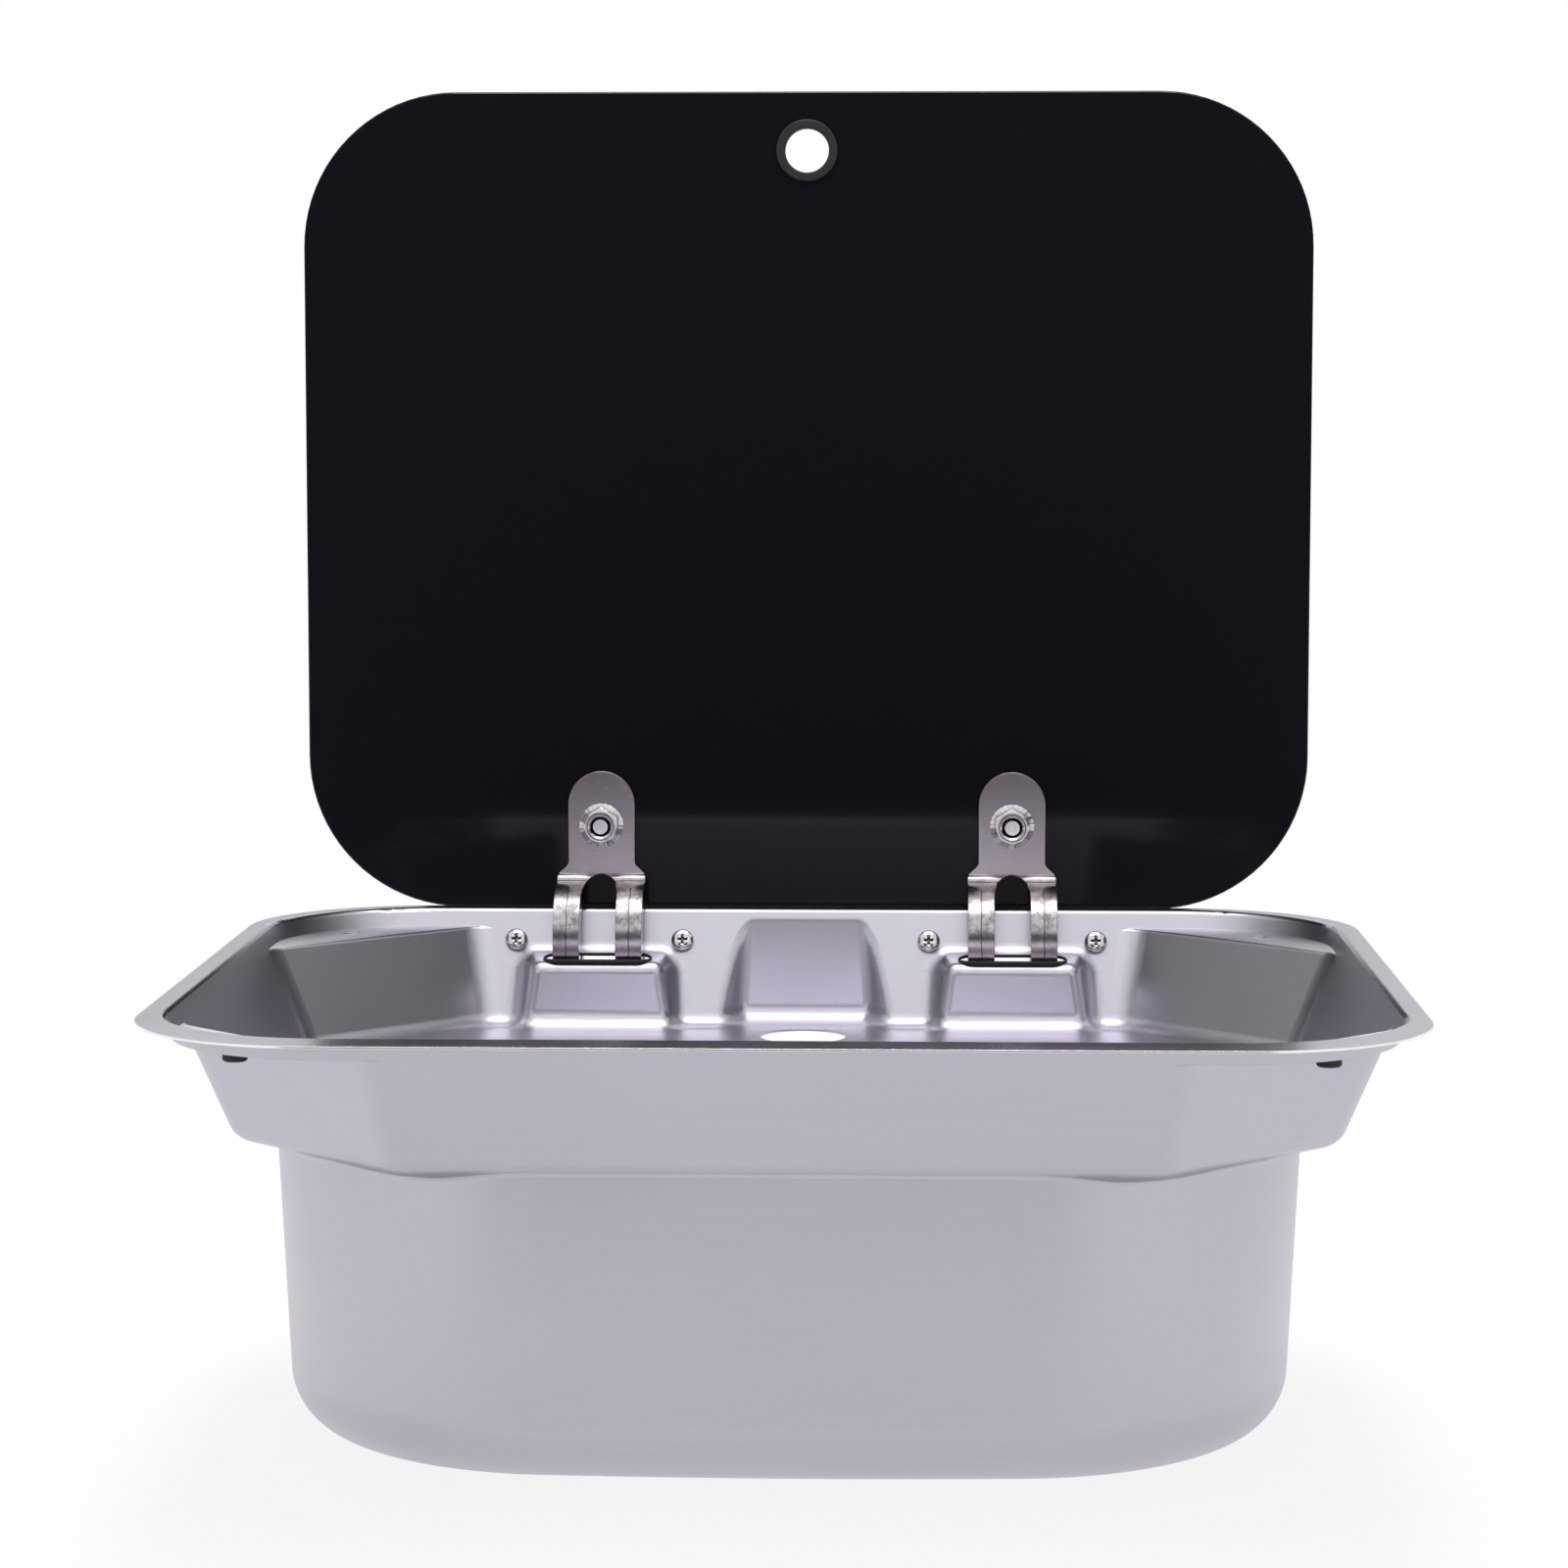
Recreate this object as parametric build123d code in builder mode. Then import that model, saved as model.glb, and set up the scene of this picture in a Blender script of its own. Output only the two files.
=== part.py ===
from build123d import *
import math
import os

# A drop-in sink with a fold-down glass lid, drawn with the lid standing open.
# Millimetres; X to the right, Y to the back, Z up. The origin is the middle of the
# rim on the worktop plane, so the rim flange lies just above Z = 0.
os.makedirs("parts", exist_ok=True)

# --- Driving dimensions: pressed basin -------------------------------------------
sheet = 0.8
rim_width = 420.0
rim_depth = 360.0
rim_corner = 65.0
rim_bend = 2.6
flange_side = 7.2
flange_rear = 7.0
flange_front = 17.7
opening_corner = 60.0
wall_draft = 22.0
corner_leg = 72.6
corner_drop = 6.8
corner_bend = 1.6
deck_drop_rear = 44.0
deck_drop_front = 47.8
deck_fillet = 8.0
tray_corner = 16.0

bowl_side_margin = 36.2
bowl_front_margin = 37.0
bowl_rear_margin = 80.0
bowl_corner = 96.0
bowl_draft = 2.8
bowl_depth = 152.6
bowl_fillet = 22.0
bowl_lip = 3.0
dish_fall = 1.25
drain_bore = 52.0
drain_recess = 80.0
drain_recess_drop = 2.0

alcove_half_width = 23.5
alcove_drop = 4.0
alcove_lean = 5.0
alcove_splay = 30.0
alcove_fillet = 5.5
alcove_blend = 6.0
tap_bore = 33.0
tap_setback = 46.5

shelf_drop = 19.0
shelf_depth = 29.3
shelf_width_front = 50.0
shelf_width_rear = 66.0
shelf_splay = 12.0
shelf_lean = 2.7
shelf_slope = 9.0
shelf_fillet = 5.0
slot_length = 42.0
slot_width = 12.0
slot_setback = 15.6

# --- Driving dimensions: lid and hinges -------------------------------------------
lid_width = 393.3
lid_height = 319.1
lid_corner = 60.0
glass = 5.0
glass_polish = 0.6
lid_behind_rim = 3.5
lid_below_rim = 0.9
finger_bore = 17.0
finger_below_top = 22.7
grommet_wall = 1.5
grommet_lip = 2.0
grommet_lip_height = 1.5

hinge_x = 80.8
pivot_inset = 4.0
pivot_drop = 12.5
arm_sheet = 2.0
plate_width = 26.0
plate_top = 53.3
plate_bend = 3.0
arm_width = 34.6
flare_top = 16.6
flare_bottom = 12.6
window_width = 14.1
ring_outer = 22.3
ring_inner = 14.5
ring_top_angle = 70.0
ring_end_angle = -36.0
flange_sheet = 1.6
tail_drop = 14.0
tail_clearance = 1.0
hub_radius = 4.6
pin_radius = 3.0
pin_head_radius = 4.4
pin_head_height = 1.5
clip_sheet = 0.7
clip_radius = 4.6
clip_gap = 4.0
base_sheet = 1.5
base_width = 82.0
base_up = 8.5
base_down = 6.0
base_window_up = 3.6
ear_sheet = 2.0
ear_radius = 6.0
washer_thickness = 1.1
washer_radius = 5.0
screw_spacing = 65.2
screw_radius = 2.45
screw_head_radius = 4.4
screw_head_height = 3.0
screw_nut_flats = 8.0
screw_nut_height = 4.0
screw_end = 1.2

bolt_radius = 3.9
bolt_above_rim = 32.0
bolt_head_radius = 11.0
bolt_head_height = 3.2
bolt_dome = 2.2
bolt_chamfer = 0.7
nut_flats = 13.0
nut_height = 7.5
nut_flange_radius = 8.75
nut_flange_height = 1.6
gasket = 1.0
gasket_inset = 0.5
back_washer_radius = 10.5
glass_bolt_clearance = 1.6

buffer_wall_gap = 25.0
buffer_hole = 7.0
buffer_head_radius = 5.4
buffer_head_height = 1.5
buffer_foot_radius = 4.1
buffer_foot_height = 4.2
buffer_foot_chamfer = 0.6

# --- Fits -------------------------------------------------------------------------
running_fit = 0.05
side_play = 0.05
bolt_fit = 0.3
rubber_fit = 0.1

# --- Places worked out from the sizes ----------------------------------------------
rim_top = sheet
rear_edge = rim_depth / 2
front_edge = -rim_depth / 2
opening_width = rim_width - 2 * flange_side
opening_depth = rim_depth - flange_rear - flange_front
opening_y = (flange_front - flange_rear) / 2
wall_run = math.tan(math.radians(wall_draft))
wall_skew = 1 / math.cos(math.radians(wall_draft))
deck_rear_y = rear_edge - flange_rear - wall_run * deck_drop_rear
deck_front_y = front_edge + flange_front + wall_run * deck_drop_front
deck_fall = math.atan2(deck_drop_front - deck_drop_rear, deck_rear_y - deck_front_y)
deck_blank = deck_drop_front + bowl_lip + deck_fillet
bowl_top_drop = deck_drop_rear - deck_fillet
bowl_y = (bowl_front_margin - bowl_rear_margin) / 2
bowl_half_width = rim_width / 2 - bowl_side_margin
bowl_bottom = rim_top - bowl_depth
buffer_x = rim_width / 2 - flange_side - wall_run * corner_drop - buffer_wall_gap
buffer_rear_y = rear_edge - flange_rear - wall_run * corner_drop - buffer_wall_gap
buffer_front_y = front_edge + flange_front + wall_run * corner_drop + buffer_wall_gap

pivot_y = rear_edge - pivot_inset
pivot_z = rim_top - pivot_drop
glass_front = rear_edge + lid_behind_rim
glass_back = glass_front + glass
lid_bottom = rim_top - lid_below_rim
lid_middle = lid_bottom + lid_height / 2
plate_back = glass_front - gasket
plate_front = plate_back - arm_sheet
bolt_z = rim_top + bolt_above_rim
ear_inner = arm_width / 2 + washer_thickness + 2 * side_play
ear_outer = ear_inner + ear_sheet
wall_back_y = rear_edge - flange_rear - wall_run * pivot_drop + sheet * wall_skew


def deck_plane(skin):
    """The falling deck, moved out of the sheet by skin."""
    return Plane(
        origin=(0, deck_rear_y, rim_top - deck_drop_rear - skin),
        x_dir=(1, 0, 0),
        z_dir=(0, -math.sin(deck_fall), math.cos(deck_fall)),
    )


def steep(edge):
    """Edges that run down a wall, not along a floor."""
    return edge.bounding_box().size.Z > deck_drop_rear / 3


# The basin is one sheet of steel. Each form below is the space on its open side;
# the same form grown by the sheet thickness, less itself, is the pressed sheet.
def alcove_form(skin):
    """A steeper bay in the rear wall that makes room for the tap's body."""
    top_y = rear_edge - flange_rear - wall_run * alcove_drop + skin
    front_y = top_y - tap_setback
    half_back = alcove_half_width + skin
    half_front = half_back + tap_setback * math.tan(math.radians(alcove_splay))
    with BuildPart() as alcove:
        with BuildSketch(Plane.YZ):
            with BuildLine():
                Polyline(
                    (top_y, rim_top - alcove_drop),
                    (top_y - alcove_lean, rim_top - deck_blank),
                    (front_y, rim_top - deck_blank),
                    (front_y, rim_top - alcove_drop),
                    close=True,
                )
            make_face()
        extrude(amount=half_front, both=True)
        with BuildSketch(Plane.XY.offset(rim_top)):
            with BuildLine():
                Polyline(
                    (-half_back, top_y),
                    (half_back, top_y),
                    (half_front, front_y),
                    (-half_front, front_y),
                    close=True,
                )
            make_face()
        extrude(amount=-deck_blank, mode=Mode.INTERSECT)
        back = alcove.faces().sort_by(Axis.Y)[-1]
        fillet(back.edges().filter_by(steep), radius=alcove_fillet + skin)
    return alcove.part


def shelf_form(skin, x):
    """A block that stands in the tray under each hinge; its top is the hinge shelf."""
    top_front = rear_edge - shelf_depth + skin
    top_z = rim_top - shelf_drop - skin
    side_lean = shelf_splay / 2 / (deck_blank - shelf_drop)
    front_lean = shelf_lean / (deck_blank - shelf_drop)
    slope = math.radians(shelf_slope)
    with BuildPart() as shelf:
        for drop in (corner_drop, deck_blank):
            out = side_lean * (drop - shelf_drop) - skin
            front_y = top_front - front_lean * (drop - shelf_drop)
            with BuildSketch(Plane.XY.offset(rim_top - drop)):
                with BuildLine():
                    Polyline(
                        (x - shelf_width_rear / 2 - out, rear_edge),
                        (x + shelf_width_rear / 2 + out, rear_edge),
                        (x + shelf_width_front / 2 + out, front_y),
                        (x - shelf_width_front / 2 - out, front_y),
                        close=True,
                    )
                make_face()
        loft()
        top_plane = Plane(
            origin=(x, top_front, top_z),
            x_dir=(1, 0, 0),
            z_dir=(0, -math.sin(slope), math.cos(slope)),
        )
        split(bisect_by=top_plane, keep=Keep.BOTTOM)
        top = shelf.faces().sort_by(Axis.Z)[-1]
        corners = shelf.edges().filter_by(steep).sort_by(Axis.Y)[:2]
        nose = top.edges().sort_by(Axis.Y)[:3]
        fillet(corners + nose, radius=shelf_fillet - skin)
    return shelf.part


def tray_form(skin):
    """The tray, with its alcove and shelves let in and every inner corner rounded."""
    grow = skin * wall_skew

    def up_rear_wall(edge):
        middle = edge.center()
        wall_y = rear_edge - flange_rear + grow - wall_run * (rim_top - middle.Z)
        beside = abs(middle.X) < hinge_x + shelf_width_rear / 2
        return steep(edge) and beside and abs(middle.Y - wall_y) < running_fit

    def nearer_tap(edge):
        return abs(edge.center().X) < hinge_x / 2

    with BuildPart() as tray:
        with BuildSketch(Plane.XY.offset(rim_top)) as plan:
            with Locations((0, opening_y)):
                Rectangle(opening_width + 2 * grow, opening_depth + 2 * grow)
            chamfer(plan.vertices(), corner_leg + grow * (2 - math.sqrt(2)))
        extrude(amount=-deck_blank, taper=wall_draft)
        fillet(tray.edges().filter_by(steep), radius=tray_corner + skin)
        add(alcove_form(skin))
        mouth = tray.edges().filter_by(up_rear_wall).filter_by(nearer_tap)
        fillet(mouth, radius=alcove_blend - skin)
        for x in (-hinge_x, hinge_x):
            add(shelf_form(skin, x), mode=Mode.SUBTRACT)
        split(bisect_by=deck_plane(skin), keep=Keep.TOP)
        deck = tray.faces().sort_by(Axis.Z)[0]
        shelf_sides = [
            edge for edge in tray.edges().filter_by(up_rear_wall) if not nearer_tap(edge)
        ]
        fillet(deck.edges() + shelf_sides, radius=deck_fillet + skin)
    return tray.part


def bowl_form(skin):
    grow = skin / math.cos(math.radians(bowl_draft))
    bowl_span = rim_depth - bowl_front_margin - bowl_rear_margin
    with BuildPart() as bowl:
        with BuildSketch(Plane.XY.offset(rim_top - bowl_top_drop)):
            with Locations((0, bowl_y)):
                RectangleRounded(
                    2 * (bowl_half_width + grow), bowl_span + 2 * grow, bowl_corner + grow
                )
        extrude(amount=-bowl_depth, taper=bowl_draft)
        # the bottom is a very shallow cone that falls to the drain
        rise = rim_width * math.tan(math.radians(dish_fall))
        with BuildSketch(Plane.XZ.offset(-bowl_y)):
            with BuildLine():
                Polyline(
                    (0, bowl_bottom - skin),
                    (rim_width, bowl_bottom - skin + rise),
                    (rim_width, rim_top),
                    (0, rim_top),
                    close=True,
                )
            make_face()
        revolve(axis=Axis((0, bowl_y, 0), (0, 0, 1)), mode=Mode.INTERSECT)
        bottom = bowl.faces().sort_by(Axis.Z)[0]
        fillet(bottom.edges(), radius=bowl_fillet + skin)
    return bowl.part


def open_side(skin):
    """All the space on the open side of the sheet, moved out of it by skin."""
    grow = skin * wall_skew
    bowl = bowl_form(skin)
    corner_z = rim_top - corner_drop - skin

    def on_ledge(edge):
        return abs(edge.center().Z - corner_z) < 1e-3 and edge.geom_type == GeomType.BSPLINE

    def on_mouth(edge):
        ends = [Vertex(*(edge @ u)) for u in (0.1, 0.5, 0.9)]
        return (
            edge.center().Z > rim_top - deck_drop_front - bowl_lip
            and edge.bounding_box().size.Z < bowl_lip
            and all(bowl.distance_to(end) < 1e-3 for end in ends)
        )

    with BuildPart() as space:
        add(tray_form(skin))
        with BuildSketch(Plane.XY.offset(rim_top)):
            with Locations((0, opening_y)):
                RectangleRounded(
                    opening_width + 2 * grow, opening_depth + 2 * grow, opening_corner + grow
                )
        extrude(amount=-(corner_drop + skin), taper=wall_draft)
        add(bowl)
        with BuildSketch(Plane.XY.offset(rim_top - skin)):
            Rectangle(rim_width + rim_corner, rim_depth + rim_corner)
        extrude(amount=rim_corner)
        rim_z = rim_top - skin
        rim_face = space.faces().filter_by_position(Axis.Z, rim_z - 1e-3, rim_z + 1e-3)[0]
        fillet(rim_face.inner_wires()[0].edges(), radius=rim_bend - skin)
        fillet(space.edges().filter_by(on_ledge), radius=corner_bend - skin)
        fillet(space.edges().filter_by(on_mouth), radius=bowl_lip - skin)
    return space.part


wall_plane = Plane(
    origin=(0, wall_back_y, pivot_z),
    x_dir=(-1, 0, 0),
    z_dir=(0, math.cos(math.radians(wall_draft)), -math.sin(math.radians(wall_draft))),
)
pair_places = [(side * screw_spacing / 2, 0) for side in (-1, 1)]
screw_places = [(x + across, up) for x in (-hinge_x, hinge_x) for across, up in pair_places]

with BuildPart() as basin:
    add(open_side(sheet))
    add(open_side(0), mode=Mode.SUBTRACT)
    with BuildSketch(Plane.XY.offset(bowl_bottom - rim_corner)):
        RectangleRounded(rim_width, rim_depth, rim_corner)
    extrude(amount=bowl_depth + rim_corner, mode=Mode.INTERSECT)
    # drain recess and outlet in the middle of the dished bottom
    with BuildSketch(Plane.XY.offset(bowl_bottom + sheet)):
        with Locations((0, bowl_y)):
            Circle(drain_recess / 2)
    extrude(amount=-(2 * sheet + drain_recess_drop))
    with BuildSketch(Plane.XY.offset(bowl_bottom + 2 * sheet)):
        with Locations((0, bowl_y)):
            Circle(drain_recess / 2 - sheet)
    extrude(amount=-(2 * sheet + drain_recess_drop), mode=Mode.SUBTRACT)
    with Locations((0, bowl_y, bowl_bottom)):
        Cylinder(drain_bore / 2, bowl_fillet, mode=Mode.SUBTRACT)
    # tap hole, corner holes and the two slots that the hinge arms pass through
    with BuildSketch(Plane.XY.offset(rim_top - corner_drop + sheet)):
        with Locations(
            (-buffer_x, buffer_front_y),
            (buffer_x, buffer_front_y),
            (-buffer_x, buffer_rear_y),
            (buffer_x, buffer_rear_y),
        ):
            Circle(buffer_hole / 2)
    extrude(amount=-4 * sheet, mode=Mode.SUBTRACT)
    with BuildSketch(Plane.XY.offset(rim_top - deck_drop_rear + deck_fillet)):
        with Locations((0, rear_edge - tap_setback)):
            Circle(tap_bore / 2)
    extrude(amount=-3 * deck_fillet, mode=Mode.SUBTRACT)
    with BuildSketch(Plane.XY.offset(rim_top - shelf_drop + slot_width / 2)):
        slot_y = rear_edge - slot_setback - slot_width / 2
        with Locations((-hinge_x, slot_y), (hinge_x, slot_y)):
            SlotOverall(slot_length, slot_width)
    extrude(amount=-slot_width, mode=Mode.SUBTRACT)
    with BuildSketch(wall_plane):
        with Locations(*screw_places):
            Circle(screw_radius + bolt_fit)
    extrude(amount=2 * sheet, both=True, mode=Mode.SUBTRACT)
basin.part.label = "basin"
export_step(basin.part, "parts/basin.step")

# Toughened glass lid, standing behind the rim.
with BuildPart() as glass_lid:
    with BuildSketch(Plane.XZ.offset(-glass_front)):
        with Locations((0, lid_middle)):
            RectangleRounded(lid_width, lid_height, lid_corner)
        with Locations((-hinge_x, bolt_z), (hinge_x, bolt_z)):
            Circle(bolt_radius + glass_bolt_clearance, mode=Mode.SUBTRACT)
        with Locations((0, lid_bottom + lid_height - finger_below_top)):
            Circle(finger_bore / 2 + grommet_wall + rubber_fit, mode=Mode.SUBTRACT)
    extrude(amount=-glass)
    outline = [face.outer_wire() for face in glass_lid.faces().filter_by(Axis.Y)]
    chamfer([edge for wire in outline for edge in wire.edges()], length=glass_polish)
glass_lid.part.label = "glass_lid"
export_step(glass_lid.part, "parts/glass_lid.step")

# Rubber ring that lines the finger hole and hooks over both faces of the glass.
grommet_z = lid_bottom + lid_height - finger_below_top
with BuildPart() as finger_grommet:
    with BuildSketch(Plane.XY):
        with BuildLine():
            lip_radius = finger_bore / 2 + grommet_wall + grommet_lip
            Polyline(
                (finger_bore / 2, glass_front - grommet_lip_height),
                (lip_radius, glass_front - grommet_lip_height),
                (lip_radius, glass_front),
                (finger_bore / 2 + grommet_wall, glass_front),
                (finger_bore / 2 + grommet_wall, glass_back),
                (lip_radius, glass_back),
                (lip_radius, glass_back + grommet_lip_height),
                (finger_bore / 2, glass_back + grommet_lip_height),
                close=True,
            )
        make_face()
    revolve(axis=Axis.Y)
    lips = finger_grommet.edges().filter_by(GeomType.CIRCLE)
    ends = lips.sort_by(Axis.Y)[:2] + lips.sort_by(Axis.Y)[-2:]
    fillet(ends, radius=grommet_lip_height * 0.5)
grommet = Pos(0, 0, grommet_z) * finger_grommet.part
grommet.label = "finger_grommet"
export_step(grommet, "parts/finger_grommet.step")

# Rubber buffers in the two front corner ledges; the closed lid lies over them.
ledge_z = rim_top - corner_drop
with BuildPart() as front_buffer:
    with BuildSketch(Plane.XZ):
        with BuildLine():
            stem = buffer_hole / 2 - rubber_fit
            foot_top = ledge_z - sheet - rubber_fit
            foot_end = foot_top - buffer_foot_height
            Polyline(
                (0, ledge_z + buffer_head_height),
                (buffer_head_radius, ledge_z + buffer_head_height),
                (buffer_head_radius, ledge_z),
                (stem, ledge_z),
                (stem, foot_top),
                (buffer_foot_radius, foot_top),
                (buffer_foot_radius, foot_end + buffer_foot_chamfer),
                (buffer_foot_radius - buffer_foot_chamfer, foot_end),
                (0, foot_end),
                close=True,
            )
        make_face()
    revolve(axis=Axis.Z)
    crown = front_buffer.edges().group_by(Axis.Z)[-1]
    fillet(crown, radius=buffer_head_height * 0.6)
for side, x in (("left", -buffer_x), ("right", buffer_x)):
    buffer = Pos(x, buffer_front_y, 0) * front_buffer.part
    buffer.label = f"front_buffer_{side}"
    export_step(buffer, f"parts/front_buffer_{side}.step")


def export_pair(piece, name):
    """Writes one hinge piece, drawn at X = 0, at the left and right hinges."""
    for side, x in (("left", -hinge_x), ("right", hinge_x)):
        placed = Pos(x, 0, 0) * piece
        placed.label = f"{name}_{side}"
        export_step(placed, f"parts/{name}_{side}.step")


def from_pivot(forward, up):
    """A point of a hinge's side view, given from the pivot, as (Y, Z)."""
    return (pivot_y - forward, pivot_z + up)


def on_ring(radius, angle):
    """A point on a circle round the pivot; 0 degrees is straight forward, 90 up."""
    turn = math.radians(angle)
    return from_pivot(radius * math.cos(turn), radius * math.sin(turn))


# Hinge arm: a pressed plate on the glass that bends forward over the rim and goes
# down through the slot as two legs, curved round the pivot like a swan's neck, so
# that they clear the rim's edge at every angle of the lid.
shelf_outer = ring_outer
shelf_inner = ring_outer - arm_sheet
bend_forward = pivot_y - plate_front + plate_bend
bend_up = shelf_outer + plate_bend
plate_rise = rim_top + plate_top - pivot_z
tail_top = rim_top - shelf_drop - sheet - tail_clearance - pivot_z
tail_reach = math.sqrt(ring_inner**2 - tail_top**2)
with BuildPart() as hinge_arm:
    # the sheet, seen from the side: plate, bend, top of the neck
    with BuildSketch(Plane.YZ):
        with BuildLine():
            front_line = Polyline(
                from_pivot(bend_forward - plate_bend, bend_up),
                from_pivot(bend_forward - plate_bend, plate_rise),
                from_pivot(bend_forward - plate_bend - arm_sheet, plate_rise),
                from_pivot(bend_forward - plate_bend - arm_sheet, bend_up),
            )
            RadiusArc(
                from_pivot(bend_forward - plate_bend - arm_sheet, bend_up),
                from_pivot(bend_forward, shelf_inner),
                -(plate_bend + arm_sheet),
            )
            Line(from_pivot(bend_forward, shelf_inner), from_pivot(0, shelf_inner))
            ThreePointArc(
                from_pivot(0, shelf_inner),
                on_ring(shelf_inner, (90 + ring_top_angle) / 2),
                on_ring(shelf_inner, ring_top_angle),
            )
            Line(on_ring(shelf_inner, ring_top_angle), on_ring(shelf_outer, ring_top_angle))
            ThreePointArc(
                on_ring(shelf_outer, ring_top_angle),
                on_ring(shelf_outer, (90 + ring_top_angle) / 2),
                from_pivot(0, shelf_outer),
            )
            Line(from_pivot(0, shelf_outer), from_pivot(bend_forward, shelf_outer))
            RadiusArc(
                from_pivot(bend_forward, shelf_outer),
                from_pivot(bend_forward - plate_bend, bend_up),
                plate_bend,
            )
        make_face()
    extrude(amount=arm_width / 2, both=True)
    # the legs and their hubs, still one block
    with BuildSketch(Plane.YZ):
        with BuildLine():
            ThreePointArc(
                on_ring(ring_outer, ring_top_angle),
                on_ring(ring_outer, (ring_top_angle + ring_end_angle) / 2),
                on_ring(ring_outer, ring_end_angle),
            )
            Polyline(
                on_ring(ring_outer, ring_end_angle),
                from_pivot(ring_inner, -tail_drop),
                from_pivot(0, -tail_drop),
                from_pivot(-hub_radius, -tail_drop + hub_radius),
                from_pivot(-hub_radius, 0),
            )
            ThreePointArc(
                from_pivot(-hub_radius, 0), from_pivot(0, hub_radius), from_pivot(hub_radius, 0)
            )
            Polyline(
                from_pivot(hub_radius, 0),
                from_pivot(hub_radius, tail_top),
                from_pivot(tail_reach, tail_top),
            )
            inner_end = math.degrees(math.atan2(tail_top, tail_reach))
            ThreePointArc(
                from_pivot(tail_reach, tail_top),
                on_ring(ring_inner, (ring_top_angle + inner_end) / 2),
                on_ring(ring_inner, ring_top_angle),
            )
            Line(on_ring(ring_inner, ring_top_angle), on_ring(ring_outer, ring_top_angle))
        make_face()
    extrude(amount=arm_width / 2, both=True)
    # outline seen from the front: round top, flare to the legs
    with BuildSketch(Plane.XZ) as outline_front:
        with Locations((0, rim_top + plate_top - plate_width / 2)):
            Circle(plate_width / 2)
        with BuildLine():
            Polyline(
                (-plate_width / 2, rim_top + plate_top - plate_width / 2),
                (-plate_width / 2, rim_top + flare_top),
                (-arm_width / 2, rim_top + flare_bottom),
                (-arm_width / 2, pivot_z - ring_outer),
                (arm_width / 2, pivot_z - ring_outer),
                (arm_width / 2, rim_top + flare_bottom),
                (plate_width / 2, rim_top + flare_top),
                (plate_width / 2, rim_top + plate_top - plate_width / 2),
                close=True,
            )
        make_face()
        neck = outline_front.vertices().group_by(Axis.Y)
        fillet(neck[1] + neck[2], radius=plate_bend)
    extrude(amount=-(rear_edge + rim_depth), mode=Mode.INTERSECT)
    # arched window between the legs, from the bend to the hubs
    with BuildSketch(Plane.XZ):
        with Locations((0, pivot_z + bend_up - window_width / 2)):
            Circle(window_width / 2)
        with Locations((0, pivot_z + bend_up - window_width / 2)):
            Rectangle(window_width, 3 * ring_outer, align=(Align.CENTER, Align.MAX))
    extrude(amount=-(rear_edge + rim_depth), mode=Mode.SUBTRACT)
    # each leg is a channel, open towards the pivot
    leg_width = (arm_width - window_width) / 2
    for side in (-1, 1):
        leg_x = side * (window_width + leg_width) / 2
        with BuildSketch(Plane.YZ.offset(leg_x)):
            with BuildLine():
                channel_top = ring_top_angle - 6
                ThreePointArc(
                    on_ring(shelf_inner, channel_top),
                    on_ring(shelf_inner, (channel_top + inner_end) / 2),
                    on_ring(shelf_inner, inner_end),
                )
                Line(on_ring(shelf_inner, inner_end), on_ring(ring_inner - 1, inner_end))
                ThreePointArc(
                    on_ring(ring_inner - 1, inner_end),
                    on_ring(ring_inner - 1, (channel_top + inner_end) / 2),
                    on_ring(ring_inner - 1, channel_top),
                )
                Line(on_ring(ring_inner - 1, channel_top), on_ring(shelf_inner, channel_top))
            make_face()
        extrude(amount=leg_width / 2 - flange_sheet, both=True, mode=Mode.SUBTRACT)
    with BuildSketch(Plane.YZ):
        with Locations(from_pivot(0, 0)):
            Circle(pin_radius + running_fit)
    extrude(amount=arm_width, both=True, mode=Mode.SUBTRACT)
    with BuildSketch(Plane.XZ):
        with Locations((0, bolt_z)):
            Circle(bolt_radius + bolt_fit)
    extrude(amount=-(rear_edge + rim_depth), mode=Mode.SUBTRACT)
export_pair(hinge_arm.part, "hinge_arm")

# Hinge base: a plate screwed to the back of the rear wall, with two ears that hold
# the pin. Its window leaves the arm's hubs room to turn.
with BuildPart() as hinge_base:
    with BuildSketch(wall_plane) as footprint:
        with Locations((0, (base_up - base_down) / 2)):
            RectangleRounded(base_width, base_up + base_down, base_down / 2)
        with Locations((0, base_window_up)):
            Rectangle(
                2 * ear_inner, base_down + base_up, align=(Align.CENTER, Align.MAX),
                mode=Mode.SUBTRACT,
            )
        with Locations(*pair_places):
            Circle(screw_radius + bolt_fit, mode=Mode.SUBTRACT)
    extrude(amount=base_sheet)
    foot_low = wall_plane.from_local_coords((0, -base_down + 0.5, base_sheet / 2))
    foot_high = wall_plane.from_local_coords((0, base_up - 1.5, base_sheet / 2))
    for ear_x in (-ear_outer, ear_inner):
        with BuildSketch(Plane.YZ.offset(ear_x)) as ear:
            with Locations(from_pivot(0, 0)):
                Circle(ear_radius)
            with BuildLine():
                Line((foot_low.Y, foot_low.Z), (foot_high.Y, foot_high.Z))
            make_hull(ear.edges())
            with Locations(from_pivot(0, 0)):
                Circle(pin_radius + running_fit, mode=Mode.SUBTRACT)
        extrude(amount=ear_sheet)
export_pair(hinge_base.part, "hinge_base")

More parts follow.
